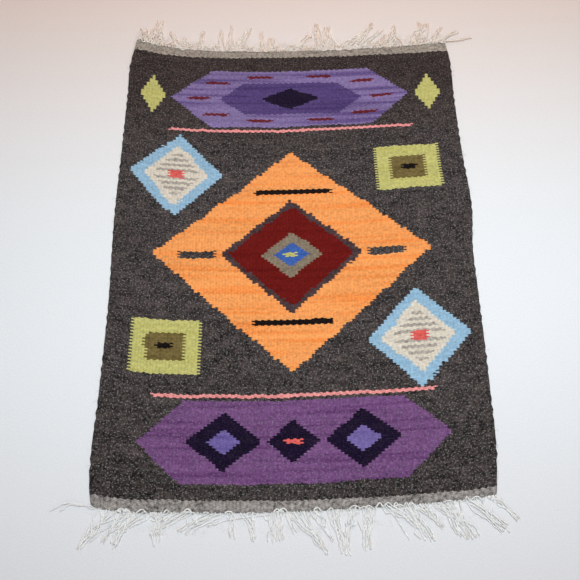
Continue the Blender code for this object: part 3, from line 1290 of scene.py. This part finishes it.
@dataclass
class Panel:
    """The woven cloth: one closed ribbed sheet with rounded selvedges, carrying its weave map."""

    lay: Lay
    crest: float = 0.0030  # the face's height on a warp
    valley: float = 0.0023  # and between two warps
    under_valley: float = 0.0004  # how far the underside rises between two warps
    rib_breadth: float = 0.8  # below 1, a rib is broader than the groove beside it
    points_per_warp: int = 4
    rows: int = 100
    crowd_reach: float = 0.12  # the share of the way from each end in which the rows lie closer
    crowd_pace: float = 0.12  # how close they lie at the very end, as a share of the usual pace
    edge_round: float = 0.0045
    edge_height: float = 0.0013
    edge_share: float = 0.25  # how much of its thickness the very edge keeps
    ripple: float = 0.0004
    ripples: tuple[tuple[float, float, float], ...] = ((9.0, 5.0, 0.0), (-7.0, 13.0, 1.3))  # pace, start
    ragged: float = 0.0012  # how far the selvedges stray
    ragged_paces: tuple[float, float] = (610.0, 173.0)
    ragged_start: float = 11.0
    corner_round: float = 0.0045
    worn_corner_round: float = 0.0090  # at the near left corner

    def build(self, finish: Finish) -> bpy.types.Object:
        """Makes the sheet.

        Args:
            finish: the woven wool.

        Returns:
            The panel's object.
        """
        cloth = bmesh.new()
        for level in (0.0, 1.0):
            made = bmesh.ops.create_grid(
                cloth, x_segments=WARPS * self.points_per_warp, y_segments=self.rows, size=1.0
            )
            bmesh.ops.translate(cloth, verts=made["verts"], vec=(0, 0, level))
        bmesh.ops.bridge_loops(cloth, edges=[edge for edge in cloth.edges if edge.is_boundary])
        bmesh.ops.recalc_face_normals(cloth, faces=cloth.faces)
        mesh = bpy.data.meshes.new("tapestry_panel")
        cloth.to_mesh(mesh)
        cloth.free()
        across, along, level = read_points(mesh).T
        along = self.crowd(along)
        weave = np.stack([across * HALF_WIDE, along * HALF_LONG], axis=1)
        lay_points(mesh, self.places(across, along, level > 0.5), "weave", weave)
        return add_piece("tapestry_panel", mesh, finish)

    def round_corners(self, x: np.ndarray, y: np.ndarray, across: np.ndarray, along: np.ndarray) -> tuple:
        """Draws the four corners in, so that each is a quarter of a circle.

        Args:
            x: each point's x.
            y: each point's y.
            across: each point's share across.
            along: each point's share along.

        Returns:
            The x and the y of each point.
        """
        radius = np.where((across < 0) & (along < 0), self.worn_corner_round, self.corner_round)
        to_side = np.clip(1 - (1 - np.abs(across)) * HALF_WIDE / radius, 0, 1)
        to_end = np.clip(1 - (1 - np.abs(along)) * HALF_LONG / radius, 0, 1)
        drawn = 1 - np.maximum(to_side, to_end) / np.maximum(np.hypot(to_side, to_end), 1e-9)
        x = x - np.sign(across) * radius * to_side * drawn
        y = y - np.sign(along) * radius * to_end * drawn
        return x, y

    def crowd(self, along: np.ndarray) -> np.ndarray:
        """Draws the rows of points closer together towards the cloth's two ends, where it is rounded.

        Args:
            along: each point's share along, at an even pace.

        Returns:
            Each point's new share along.
        """
        rest = 1 - np.abs(along)
        pace = self.crowd_pace + (1 - self.crowd_pace) * smooth(rest / self.crowd_reach)
        return np.sign(along) * (1 - rest * pace)

    def places(self, across: np.ndarray, along: np.ndarray, top: np.ndarray) -> np.ndarray:
        """Where the sheet's points lie.

        Args:
            across: each point's share across.
            along: each point's share along.
            top: whether each is on the face, not on the underside.

        Returns:
            One row of x, y and z for each point.
        """
        x, y = self.lay.spot(across, along)
        x, y = self.round_corners(x, y, across, along)
        selvedge = np.abs(across) > 0.9999
        quick, slow = self.ragged_paces
        x = x + selvedge * self.ragged * np.sin(along * quick + self.ragged_start) * np.sin(along * slow)
        rib = np.abs(np.sin(math.pi * (across + 1) / 2 * WARPS)) ** self.rib_breadth
        inset = np.minimum((1 - np.abs(across)) * HALF_WIDE, (1 - np.abs(along)) * HALF_LONG)
        inset = np.clip(inset / self.edge_round, 0, 1)
        fullness = self.edge_share + (1 - self.edge_share) * np.sqrt(1 - (1 - inset) ** 2)
        waves = sum(np.sin(by_x * x + by_y * y + start) for by_x, by_y, start in self.ripples)
        face = self.valley + (self.crest - self.valley) * rib + self.ripple * waves / 2
        height = np.where(top, face, self.under_valley * (1 - rib))
        level = self.edge_height + (height - self.edge_height) * fullness
        return np.stack([x, y, self.lay.curl(x, y) + level], axis=1)


@dataclass
class Yarn:
    """One length of plied yarn on its way over the floor.

    Args:
        path: its middle line, one row of x, y and z for each step.
        radius: the radius of one ply.
        plies: how many plies are twisted together.
        twist: the length of one whole turn of the twist.
        loose: how far the plies part at the cut end, in radii.
        shade: how dark it is, from 0 to 1.
    """

    path: np.ndarray
    radius: float
    plies: int = 2
    twist: float = 0.009
    loose: float = 1.0
    shade: float = 0.5


@dataclass
class YarnBundle:
    """Many yarns as one mesh, each ply a copy of one straight tube that is bent along its path."""

    steps: int
    sides: int
    ply_gap: float = 0.52  # from a two-ply yarn's middle line to a ply's, in radii
    frayed: float = 0.15  # the share of its length in which the plies part
    slimmed: float = 0.1  # the share in which each ply grows thinner
    slimming: float = 0.35
    yarns: list[Yarn] = field(default_factory=list)

    def tube(self) -> tuple[bpy.types.Mesh, np.ndarray, np.ndarray]:
        """The straight tube.

        Returns:
            Its mesh, and for each point the step that it is at and its angle around the tube.
        """
        stock = bmesh.new()
        bmesh.ops.create_cone(
            stock, cap_ends=True, cap_tris=False, segments=self.sides, radius1=1, radius2=1, depth=1
        )
        upright = [edge for edge in stock.edges if abs(edge.verts[0].co.z - edge.verts[1].co.z) > 0.5]
        bmesh.ops.subdivide_edges(stock, edges=upright, cuts=self.steps - 1)
        mesh = bpy.data.meshes.new("tube")
        stock.to_mesh(mesh)
        stock.free()
        places = read_points(mesh)
        step = np.rint((places[:, 2] + 0.5) * self.steps).astype(int)
        return mesh, step, np.arctan2(places[:, 1], places[:, 0])

    def bend(self, yarn: Yarn, ply: int, step: np.ndarray, angle: np.ndarray) -> np.ndarray:
        """One ply's points.

        Args:
            yarn: the yarn.
            ply: the ply's number.
            step: the step that each point is at.
            angle: each point's angle around the ply.

        Returns:
            One row of x, y and z for each point.
        """
        forward = np.gradient(yarn.path, axis=0)
        pace = np.linalg.norm(forward, axis=1, keepdims=True)
        forward /= np.maximum(pace, 1e-9)
        aside = np.stack([-forward[:, 1], forward[:, 0], np.zeros(len(forward))], axis=1)
        aside /= np.maximum(np.linalg.norm(aside, axis=1, keepdims=True), 1e-9)
        up = np.cross(forward, aside)
        share = np.linspace(0, 1, len(yarn.path))
        travelled = np.cumsum(pace[:, 0]) - pace[0, 0]
        turn = 2 * math.pi * (travelled / yarn.twist + ply / yarn.plies)
        parted = smooth((share - 1 + self.frayed) / self.frayed)
        apart = (self.ply_gap if yarn.plies > 1 else 0.0) * (1 + yarn.loose * parted)
        middle = yarn.path + yarn.radius * (apart * (np.cos(turn) * aside.T + np.sin(turn) * up.T)).T
        middle[:, 2] = np.maximum(middle[:, 2], yarn.radius)
        ring = np.cos(angle)[:, None] * aside[step] + np.sin(angle)[:, None] * up[step]
        slim = 1 - self.slimming * smooth((share - 1 + self.slimmed) / self.slimmed)
        return middle[step] + ring * (yarn.radius * slim[step])[:, None]

    def build(self, name: str, finish: Finish) -> bpy.types.Object:
        """Joins every ply into one piece with its yarn map.

        Args:
            name: the piece's name.
            finish: its finish.

        Returns:
            The piece.
        """
        stock, step, angle = self.tube()
        joined = bmesh.new()
        places, along, chance = [], [], []
        for yarn in self.yarns:
            for ply in range(yarn.plies):
                joined.from_mesh(stock)
                places.append(self.bend(yarn, ply, step, angle))
                along.append(step / self.steps)
                chance.append(np.full(len(step), yarn.shade))
        mesh = bpy.data.meshes.new(name)
        joined.to_mesh(mesh)
        joined.free()
        bpy.data.meshes.remove(stock)
        shades = np.stack([np.concatenate(along), np.concatenate(chance)], axis=1)
        lay_points(mesh, np.concatenate(places), "yarn", shades)
        return add_piece(name, mesh, finish)


@dataclass
class Fringe:
    """The warp ends beyond one end of the cloth: hitched to each other at its edge and lying in clumps.

    Where a field is a pair, a draw comes from between the two, unless its note says otherwise. A share is
    of a length, and the rest is in metres.
    """

    lay: Lay
    end: int  # -1 for the near end and 1 for the far end
    clumps: tuple[Clump, ...]
    seed: int
    fullness: float  # how many yarns lie for each one that the clumps name
    radius: float
    strays: tuple = ()
    steps: int = 28
    root_jitter: float = 0.3  # how unevenly a clump's roots are spaced
    root_in: tuple[float, float] = (0.001, 0.003)  # how far inside the cloth's end a straight yarn starts
    root_out: float = 0.002
    root_sway: float = 0.001
    # A clump's shape
    length_share: tuple[float, float] = (0.84, 1.05)
    neck_share: tuple[float, float] = (0.22, 0.48)  # how far back from its tip it is drawn together
    neck_stray: tuple[float, float] = (0.0018, 0.0012)
    belly_aside: tuple[float, float] = (0.3, 0.6)
    belly_out: tuple[float, float] = (0.35, 0.6)
    belly_stray: float = 0.003
    # A yarn's own way over the floor
    wobble: float = 0.0007
    wobble_rise: float = 3.0  # it is whole after the first third of the yarn
    waves: tuple[float, ...] = (2.2, 4.1, 7.3)  # how many there are in a yarn's length
    resting_height: float = 1.9  # of its middle line over the floor, in radii
    hump: float = 0.0012
    hump_stretch: tuple[float, float] = (0.15, 0.75)  # where it starts and how long it is
    looped_share: float = 0.07  # of the yarns, the ones with a loop on the way
    loop_stretch: tuple[float, float] = (0.3, 0.45)
    loop_size: tuple[float, float] = (0.002, 0.0045)
    # An arch, with which some yarns start over the cloth's edge
    arched_share: float = 0.22
    arch_width: tuple[float, float] = (0.005, 0.016)
    arch_rise: tuple[float, float] = (0.0005, 0.0060)
    arch_foot: float = 0.0005
    arch_crown: float = 0.55  # where along its width it reaches furthest in
    cloth_height: float = 0.0028
    descent: tuple[float, float] = (0.0015, 0.0065)  # where it leaves the cloth and how far it takes
    side_descent: tuple[float, float] = (0.297, 0.006)  # the same at a selvedge
    uncurled: float = 0.030  # how far out a curled edge still lifts a yarn
    # The spun yarn
    twist: tuple[float, float] = (0.016, 0.026)
    looseness: tuple[float, float] = (0.3, 1.4)
    thickness: tuple[float, float] = (0.85, 1.1)
    # The half hitches along the cloth's end
    hitches: int = 22
    hitch_zone: float = 0.98  # of half the cloth's width
    hitch_turns: float = 1.3
    hitch_size: tuple[float, float] = (0.0008, 0.0013)
    hitch_breadth: float = 1.4
    hitch_length: float = 0.0026
    hitch_out: tuple[float, float] = (-0.0004, 0.0012)
    hitch_thickness: float = 0.9
    # The short ends that lie curled beside it
    short_ends: int = 12
    short_zone: float = 0.94
    short_root: float = -0.002
    short_reach: tuple[float, float] = (0.008, 0.022)
    short_out: tuple[float, float] = (0.003, 0.014)
    short_bends: tuple[float, ...] = (0.25, 0.6, 1.0)

    def __post_init__(self) -> None:
        """Seeds the draws."""
        self.luck = random.Random(self.seed)

    def edge(self, x: np.ndarray | float) -> np.ndarray:
        """The y of the cloth's end at some x."""
        across = np.clip(np.asarray(x) / HALF_WIDE, -1, 1)
        return (self.lay.near if self.end < 0 else self.lay.far).at(across)

    def waypoints(self, clump: Clump, root: float) -> list[tuple[float, float]]:
        """The points that one yarn passes on its way from the cloth's edge to its tip.

        Args:
            clump: the clump that it belongs to.
            root: the x of its root.

        Returns:
            The x of each point and its distance beyond the cloth's end.
        """
        luck = self.luck
        tip = (clump.tip + luck.gauss(0, clump.splay), clump.out * luck.uniform(*self.length_share))
        middle = (clump.left + clump.right) / 2
        back = luck.uniform(*self.neck_share)
        neck = (
            tip[0] + (middle - clump.tip) * back + luck.gauss(0, self.neck_stray[0]),
            tip[1] * (1 - back) + luck.gauss(0, self.neck_stray[1]),
        )
        belly = (
            root + (neck[0] - root) * luck.uniform(*self.belly_aside) + luck.gauss(0, self.belly_stray),
            neck[1] * luck.uniform(*self.belly_out),
        )
        if luck.random() < self.arched_share:
            width = luck.choice((-1, 1)) * luck.uniform(*self.arch_width)
            rise = luck.uniform(*self.arch_rise)
            foot, crown = self.arch_foot, root + width * self.arch_crown
            start = [(root + width, foot), (crown, -rise), (root, foot)]
        else:
            inside = luck.uniform(*self.root_in)
            start = [(root, -inside), (root + luck.gauss(0, self.root_sway), self.root_out)]
        return [*start, belly, neck, tip]

    def path(self, waypoints: list[tuple[float, float]]) -> np.ndarray:
        """A yarn's way over the cloth's edge and the floor.

        Args:
            waypoints: the points that it passes.

        Returns:
            One row of x, y and z for each step.
        """
        luck = self.luck
        share = np.linspace(0, 1, self.steps + 1)
        x, out = thread(waypoints, self.steps).T
        for waves in self.waves:
            for track in (x, out):
                size = luck.uniform(-1, 1) * self.wobble * self.waves[0] / waves
                turn = 2 * math.pi * (waves * share + luck.random())
                track += smooth(share * self.wobble_rise) * size * np.sin(turn)
        if luck.random() < self.looped_share:
            around = 2 * math.pi * smooth((share - self.loop_stretch[0]) / self.loop_stretch[1])
            size = luck.choice((-1, 1)) * luck.uniform(*self.loop_size)
            x = x + size * (1 - np.cos(around))
            out = out + abs(size) * np.sin(around)
        floor = self.radius * self.resting_height
        on_hump = np.clip((share - self.hump_stretch[0]) / self.hump_stretch[1], 0, 1)
        hump = luck.uniform(0.0, self.hump) * np.sin(math.pi * on_hump)
        arched = waypoints[0][1] > 0  # the others come out of the cloth's end, at the floor's height
        over_cloth = arched * self.cloth_height * (1 - smooth((out + self.descent[0]) / self.descent[1]))
        over_cloth *= 1 - smooth((np.abs(x) - self.side_descent[0]) / self.side_descent[1])
        edge = self.edge(x)
        curl = self.lay.curl(x, edge) * (1 - smooth(out / self.uncurled))
        return np.stack([x, edge + self.end * out, floor + hump + over_cloth + curl], axis=1)

    def yarn(self, path: np.ndarray) -> Yarn:
        """A two-ply yarn with a twist, a frayed end and a shade of its own.

        Args:
            path: its middle line.

        Returns:
            The yarn.
        """
        luck = self.luck
        return Yarn(
            path,
            self.radius * luck.uniform(*self.thickness),
            twist=luck.uniform(*self.twist),
            loose=luck.uniform(*self.looseness),
            shade=luck.random(),
        )

    def hitch(self, x: float) -> np.ndarray:
        """The half hitch that closes one pair of warps against the cloth's end.

        Args:
            x: where it is across the cloth.

        Returns:
            One row of x, y and z for each step.
        """
        luck = self.luck
        share = np.linspace(0, 1, self.steps + 1)
        turn = 2 * math.pi * (self.hitch_turns * share + luck.random())
        size = luck.uniform(*self.hitch_size)
        edge = self.edge(x)
        rise = self.lay.curl(x, edge) + size + self.radius
        out = luck.uniform(*self.hitch_out) + self.hitch_length * (share - 0.5)
        x, height = x + size * self.hitch_breadth * np.cos(turn), rise + size * np.sin(turn)
        return np.stack([x, edge + self.end * out, height], axis=1)

    def short_end(self, root: float) -> list[tuple[float, float]]:
        """The points that a short end passes where it lies curled beside the cloth's end.

        Args:
            root: the x of its root.

        Returns:
            The x of each point and its distance beyond the cloth's end.
        """
        luck = self.luck
        side = luck.choice((-1, 1)) * luck.uniform(*self.short_reach)
        bends = [(root + side * reach, luck.uniform(*self.short_out)) for reach in self.short_bends]
        return [(root, self.short_root), *bends]

    def build(self, name: str, finish: Finish, node: str) -> bpy.types.Object:
        """Makes the fringe and lets it stand for its plain solid.

        Args:
            name: the piece's name.
            finish: the warp yarn.
            node: the plain solid that it replaces.

        Returns:
            The fringe's object.
        """
        luck = self.luck
        bundle = YarnBundle(self.steps, sides=4)
        for clump in self.clumps:
            yarns = round(clump.yarns * self.fullness)
            for number in range(yarns):
                share = (number + 0.5) / yarns + luck.uniform(-self.root_jitter, self.root_jitter) / yarns
                root = clump.left + (clump.right - clump.left) * share
                bundle.yarns.append(self.yarn(self.path(self.waypoints(clump, root))))
        for stray in self.strays:
            bundle.yarns.append(self.yarn(self.path(list(stray))))
        for _ in range(self.hitches):
            hitch = self.hitch(luck.uniform(-self.hitch_zone, self.hitch_zone) * HALF_WIDE)
            radius = self.radius * self.hitch_thickness
            bundle.yarns.append(Yarn(hitch, radius, plies=1, shade=luck.random()))
        for _ in range(self.short_ends):
            short_end = self.short_end(luck.uniform(-self.short_zone, self.short_zone) * HALF_WIDE)
            bundle.yarns.append(self.yarn(self.path(short_end)))
        piece = bundle.build(name, finish)
        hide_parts(node)
        return piece


class FibreSize(NamedTuple):
    """How long some loose fibres usually are, and how high their roots are over the cloth's underside."""

    length: float
    height: float


@dataclass
class LooseFibres:
    """Short single fibres that stand off the selvedges, the ends and the face, and lie in the fringes."""

    lay: Lay
    on_cloth: int = 620
    on_selvedge: float = 0.45  # the share of them that stands off a selvedge
    on_end: float = 0.25  # and off an end
    edge_zone: tuple[float, float] = (0.992, 1.0)
    cloth_fibre: FibreSize = FibreSize(0.006, 0.0022)
    in_fringe: int = 480
    fringe_depth: float = 0.030
    fringe_fibre: FibreSize = FibreSize(0.008, 0.0008)
    at_far_edge: int = 900
    far_spread: tuple[float, float] = (0.008, 0.007)  # how far out they lie, and how unevenly
    far_fibre: FibreSize = FibreSize(0.010, 0.0026)
    in_tuft: int = 16
    tuft: tuple[float, float] = (1.0, 0.385)  # its shares across and along
    tuft_fibre: FibreSize = FibreSize(0.008, 0.0026)
    radius: float = 0.00009
    length_share: tuple[float, float] = (0.5, 1.5)
    height_share: tuple[float, float] = (0.8, 1.2)
    bend: float = 2.5  # how far a fibre may turn on its way, in radians
    arch: tuple[float, float] = (0.0004, 0.0022)
    steps: int = 6
    seed: int = 23

    def build(self, finish: Finish) -> bpy.types.Object:
        """Scatters the fibres.

        Args:
            finish: their finish.

        Returns:
            The piece.
        """
        luck = random.Random(self.seed)
        bundle = YarnBundle(self.steps, sides=3)
        for _ in range(self.on_cloth):
            across, along = luck.uniform(-1, 1), luck.uniform(-1, 1)
            edge = luck.random()
            if edge < self.on_selvedge:
                across = math.copysign(luck.uniform(*self.edge_zone), across)
            elif edge < self.on_selvedge + self.on_end:
                along = math.copysign(luck.uniform(*self.edge_zone), along)
            bundle.yarns.append(self.fibre(luck, (across, along), self.cloth_fibre, luck.random()))
        for _ in range(self.in_fringe):
            along = luck.choice((-1, 1)) * (1 + luck.uniform(0.0, self.fringe_depth) / HALF_LONG)
            bundle.yarns.append(self.fibre(luck, (luck.uniform(-1, 1), along), self.fringe_fibre))
        for _ in range(self.at_far_edge):
            along = 1 + luck.gauss(*self.far_spread) / HALF_LONG
            bundle.yarns.append(self.fibre(luck, (luck.uniform(-1, 1), along), self.far_fibre))
        for _ in range(self.in_tuft):
            bundle.yarns.append(self.fibre(luck, self.tuft, self.tuft_fibre))
        piece = bundle.build("loose_fibres", finish)
        return piece

    def fibre(self, luck: random.Random, spot: tuple, size: FibreSize, shade: float = 1.0) -> Yarn:
        """One curled fibre.

        Args:
            luck: where its draws come from.
            spot: its root's shares across and along the cloth.
            size: its usual size.
            shade: how pale it is, from 0 to 1.

        Returns:
            The fibre as a yarn of one ply.
        """
        share = np.linspace(0, 1, self.steps + 1)
        length = size.length * luck.uniform(*self.length_share)
        heading = luck.uniform(0, 2 * math.pi) + luck.uniform(-self.bend, self.bend) * share
        x, y = self.lay.spot(*spot)
        x = x + np.concatenate([[0], np.cumsum(np.cos(heading[:-1]))]) * length / self.steps
        y = y + np.concatenate([[0], np.cumsum(np.sin(heading[:-1]))]) * length / self.steps
        arch = luck.uniform(*self.arch) * np.sin(math.pi * share)
        z = self.lay.curl(x, y) + size.height * luck.uniform(*self.height_share) + arch
        return Yarn(np.stack([x, y, z], axis=1), self.radius, plies=1, shade=shade)


class Lamp(NamedTuple):
    """A soft square light that faces the cloth.

    Args:
        name: its name.
        place: where it hangs.
        size: its side in metres.
        power: its power in watts.
        colour: its linear colour.
    """

    name: str
    place: tuple[float, float, float]
    size: float
    power: float
    colour: tuple[float, float, float]


@dataclass
class Studio:
    """The pale floor, three soft lights and the camera where the photograph's was."""

    floor_half: float = 3.0
    floor_cells: int = 8
    lamps: tuple[Lamp, ...] = (
        Lamp("ceiling_light", (0.18, -0.13, 1.55), 1.2, 22.6, (0.925, 0.985, 1.0)),
        Lamp("front_fill", (0.0, -2.6, 1.1), 1.0, 13.0, (1.0, 0.985, 0.965)),
        Lamp("warm_wall", (0.0, 2.0, 1.4), 1.2, 13.0, (1.0, 0.56, 0.42)),
    )
    room_colour: tuple[float, float, float] = (0.97, 0.985, 1.0)
    room_strength: float = 0.16
    camera_place: tuple[float, float, float] = (0.0046, -0.8165, 1.3069)
    camera_turn_deg: tuple[float, float, float] = (28.83, 0.57, -0.42)
    sensor: float = 36.0
    focal_pixels: float = 900.0
    frame_pixels: float = 580.0

    def build(self) -> None:
        """Sets up the whole studio."""
        floor = bmesh.new()
        cells = self.floor_cells
        bmesh.ops.create_grid(floor, x_segments=cells, y_segments=cells, size=self.floor_half)
        mesh = bpy.data.meshes.new("floor")
        floor.to_mesh(mesh)
        floor.free()
        add_piece("floor", mesh, PaleFloor(), body=None)
        for lamp in self.lamps:
            self.hang(lamp)
        world = bpy.data.worlds.new("room")
        world.use_nodes = True
        background = world.node_tree.nodes["Background"]
        background.inputs["Color"].default_value = (*self.room_colour, 1.0)
        background.inputs["Strength"].default_value = self.room_strength
        scene = bpy.context.scene
        scene.world = world
        scene.view_settings.view_transform = "Standard"
        lens = bpy.data.cameras.new("camera")
        lens.sensor_width = self.sensor
        lens.lens = self.sensor * self.focal_pixels / self.frame_pixels
        camera = bpy.data.objects.new("camera", lens)
        camera.location = self.camera_place
        camera.rotation_euler = [math.radians(turn) for turn in self.camera_turn_deg]
        scene.collection.objects.link(camera)
        scene.camera = camera

    def hang(self, lamp: Lamp) -> None:
        """Hangs one light and turns it to the middle of the cloth.

        Args:
            lamp: the light.
        """
        light = bpy.data.lights.new(lamp.name, "AREA")
        light.size = lamp.size
        light.energy = lamp.power
        light.color = lamp.colour
        holder = bpy.data.objects.new(lamp.name, light)
        holder.location = lamp.place
        holder.rotation_euler = (-Vector(lamp.place)).to_track_quat("-Z", "Y").to_euler()
        bpy.context.scene.collection.objects.link(holder)


def main() -> None:
    """Builds the tapestry and its studio, in order."""
    logging.basicConfig(level=logging.INFO, format="%(name)s: %(message)s")
    lay = Lay()
    panel = Panel(lay).build(TapestryWool())
    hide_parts("woven_panel")
    near_end = Fringe(lay, -1, NEAR_CLUMPS, seed=6, fullness=1.3, radius=0.00076, strays=NEAR_STRAYS)
    far_end = Fringe(
        lay, 1, FAR_CLUMPS, seed=8, fullness=1.35, radius=0.00088, wobble=0.0013, short_ends=90
    )
    spun = SpunShade()
    near = near_end.build("near_fringe", WarpYarn(spun), "fringe_near")
    far = far_end.build("far_fringe", BrownedWarpYarnWithPaintedWarmLight(spun), "fringe_far")
    fibres = LooseFibres(lay).build(LooseFibre())
    Studio().build()


if __name__ == "__main__":
    main()
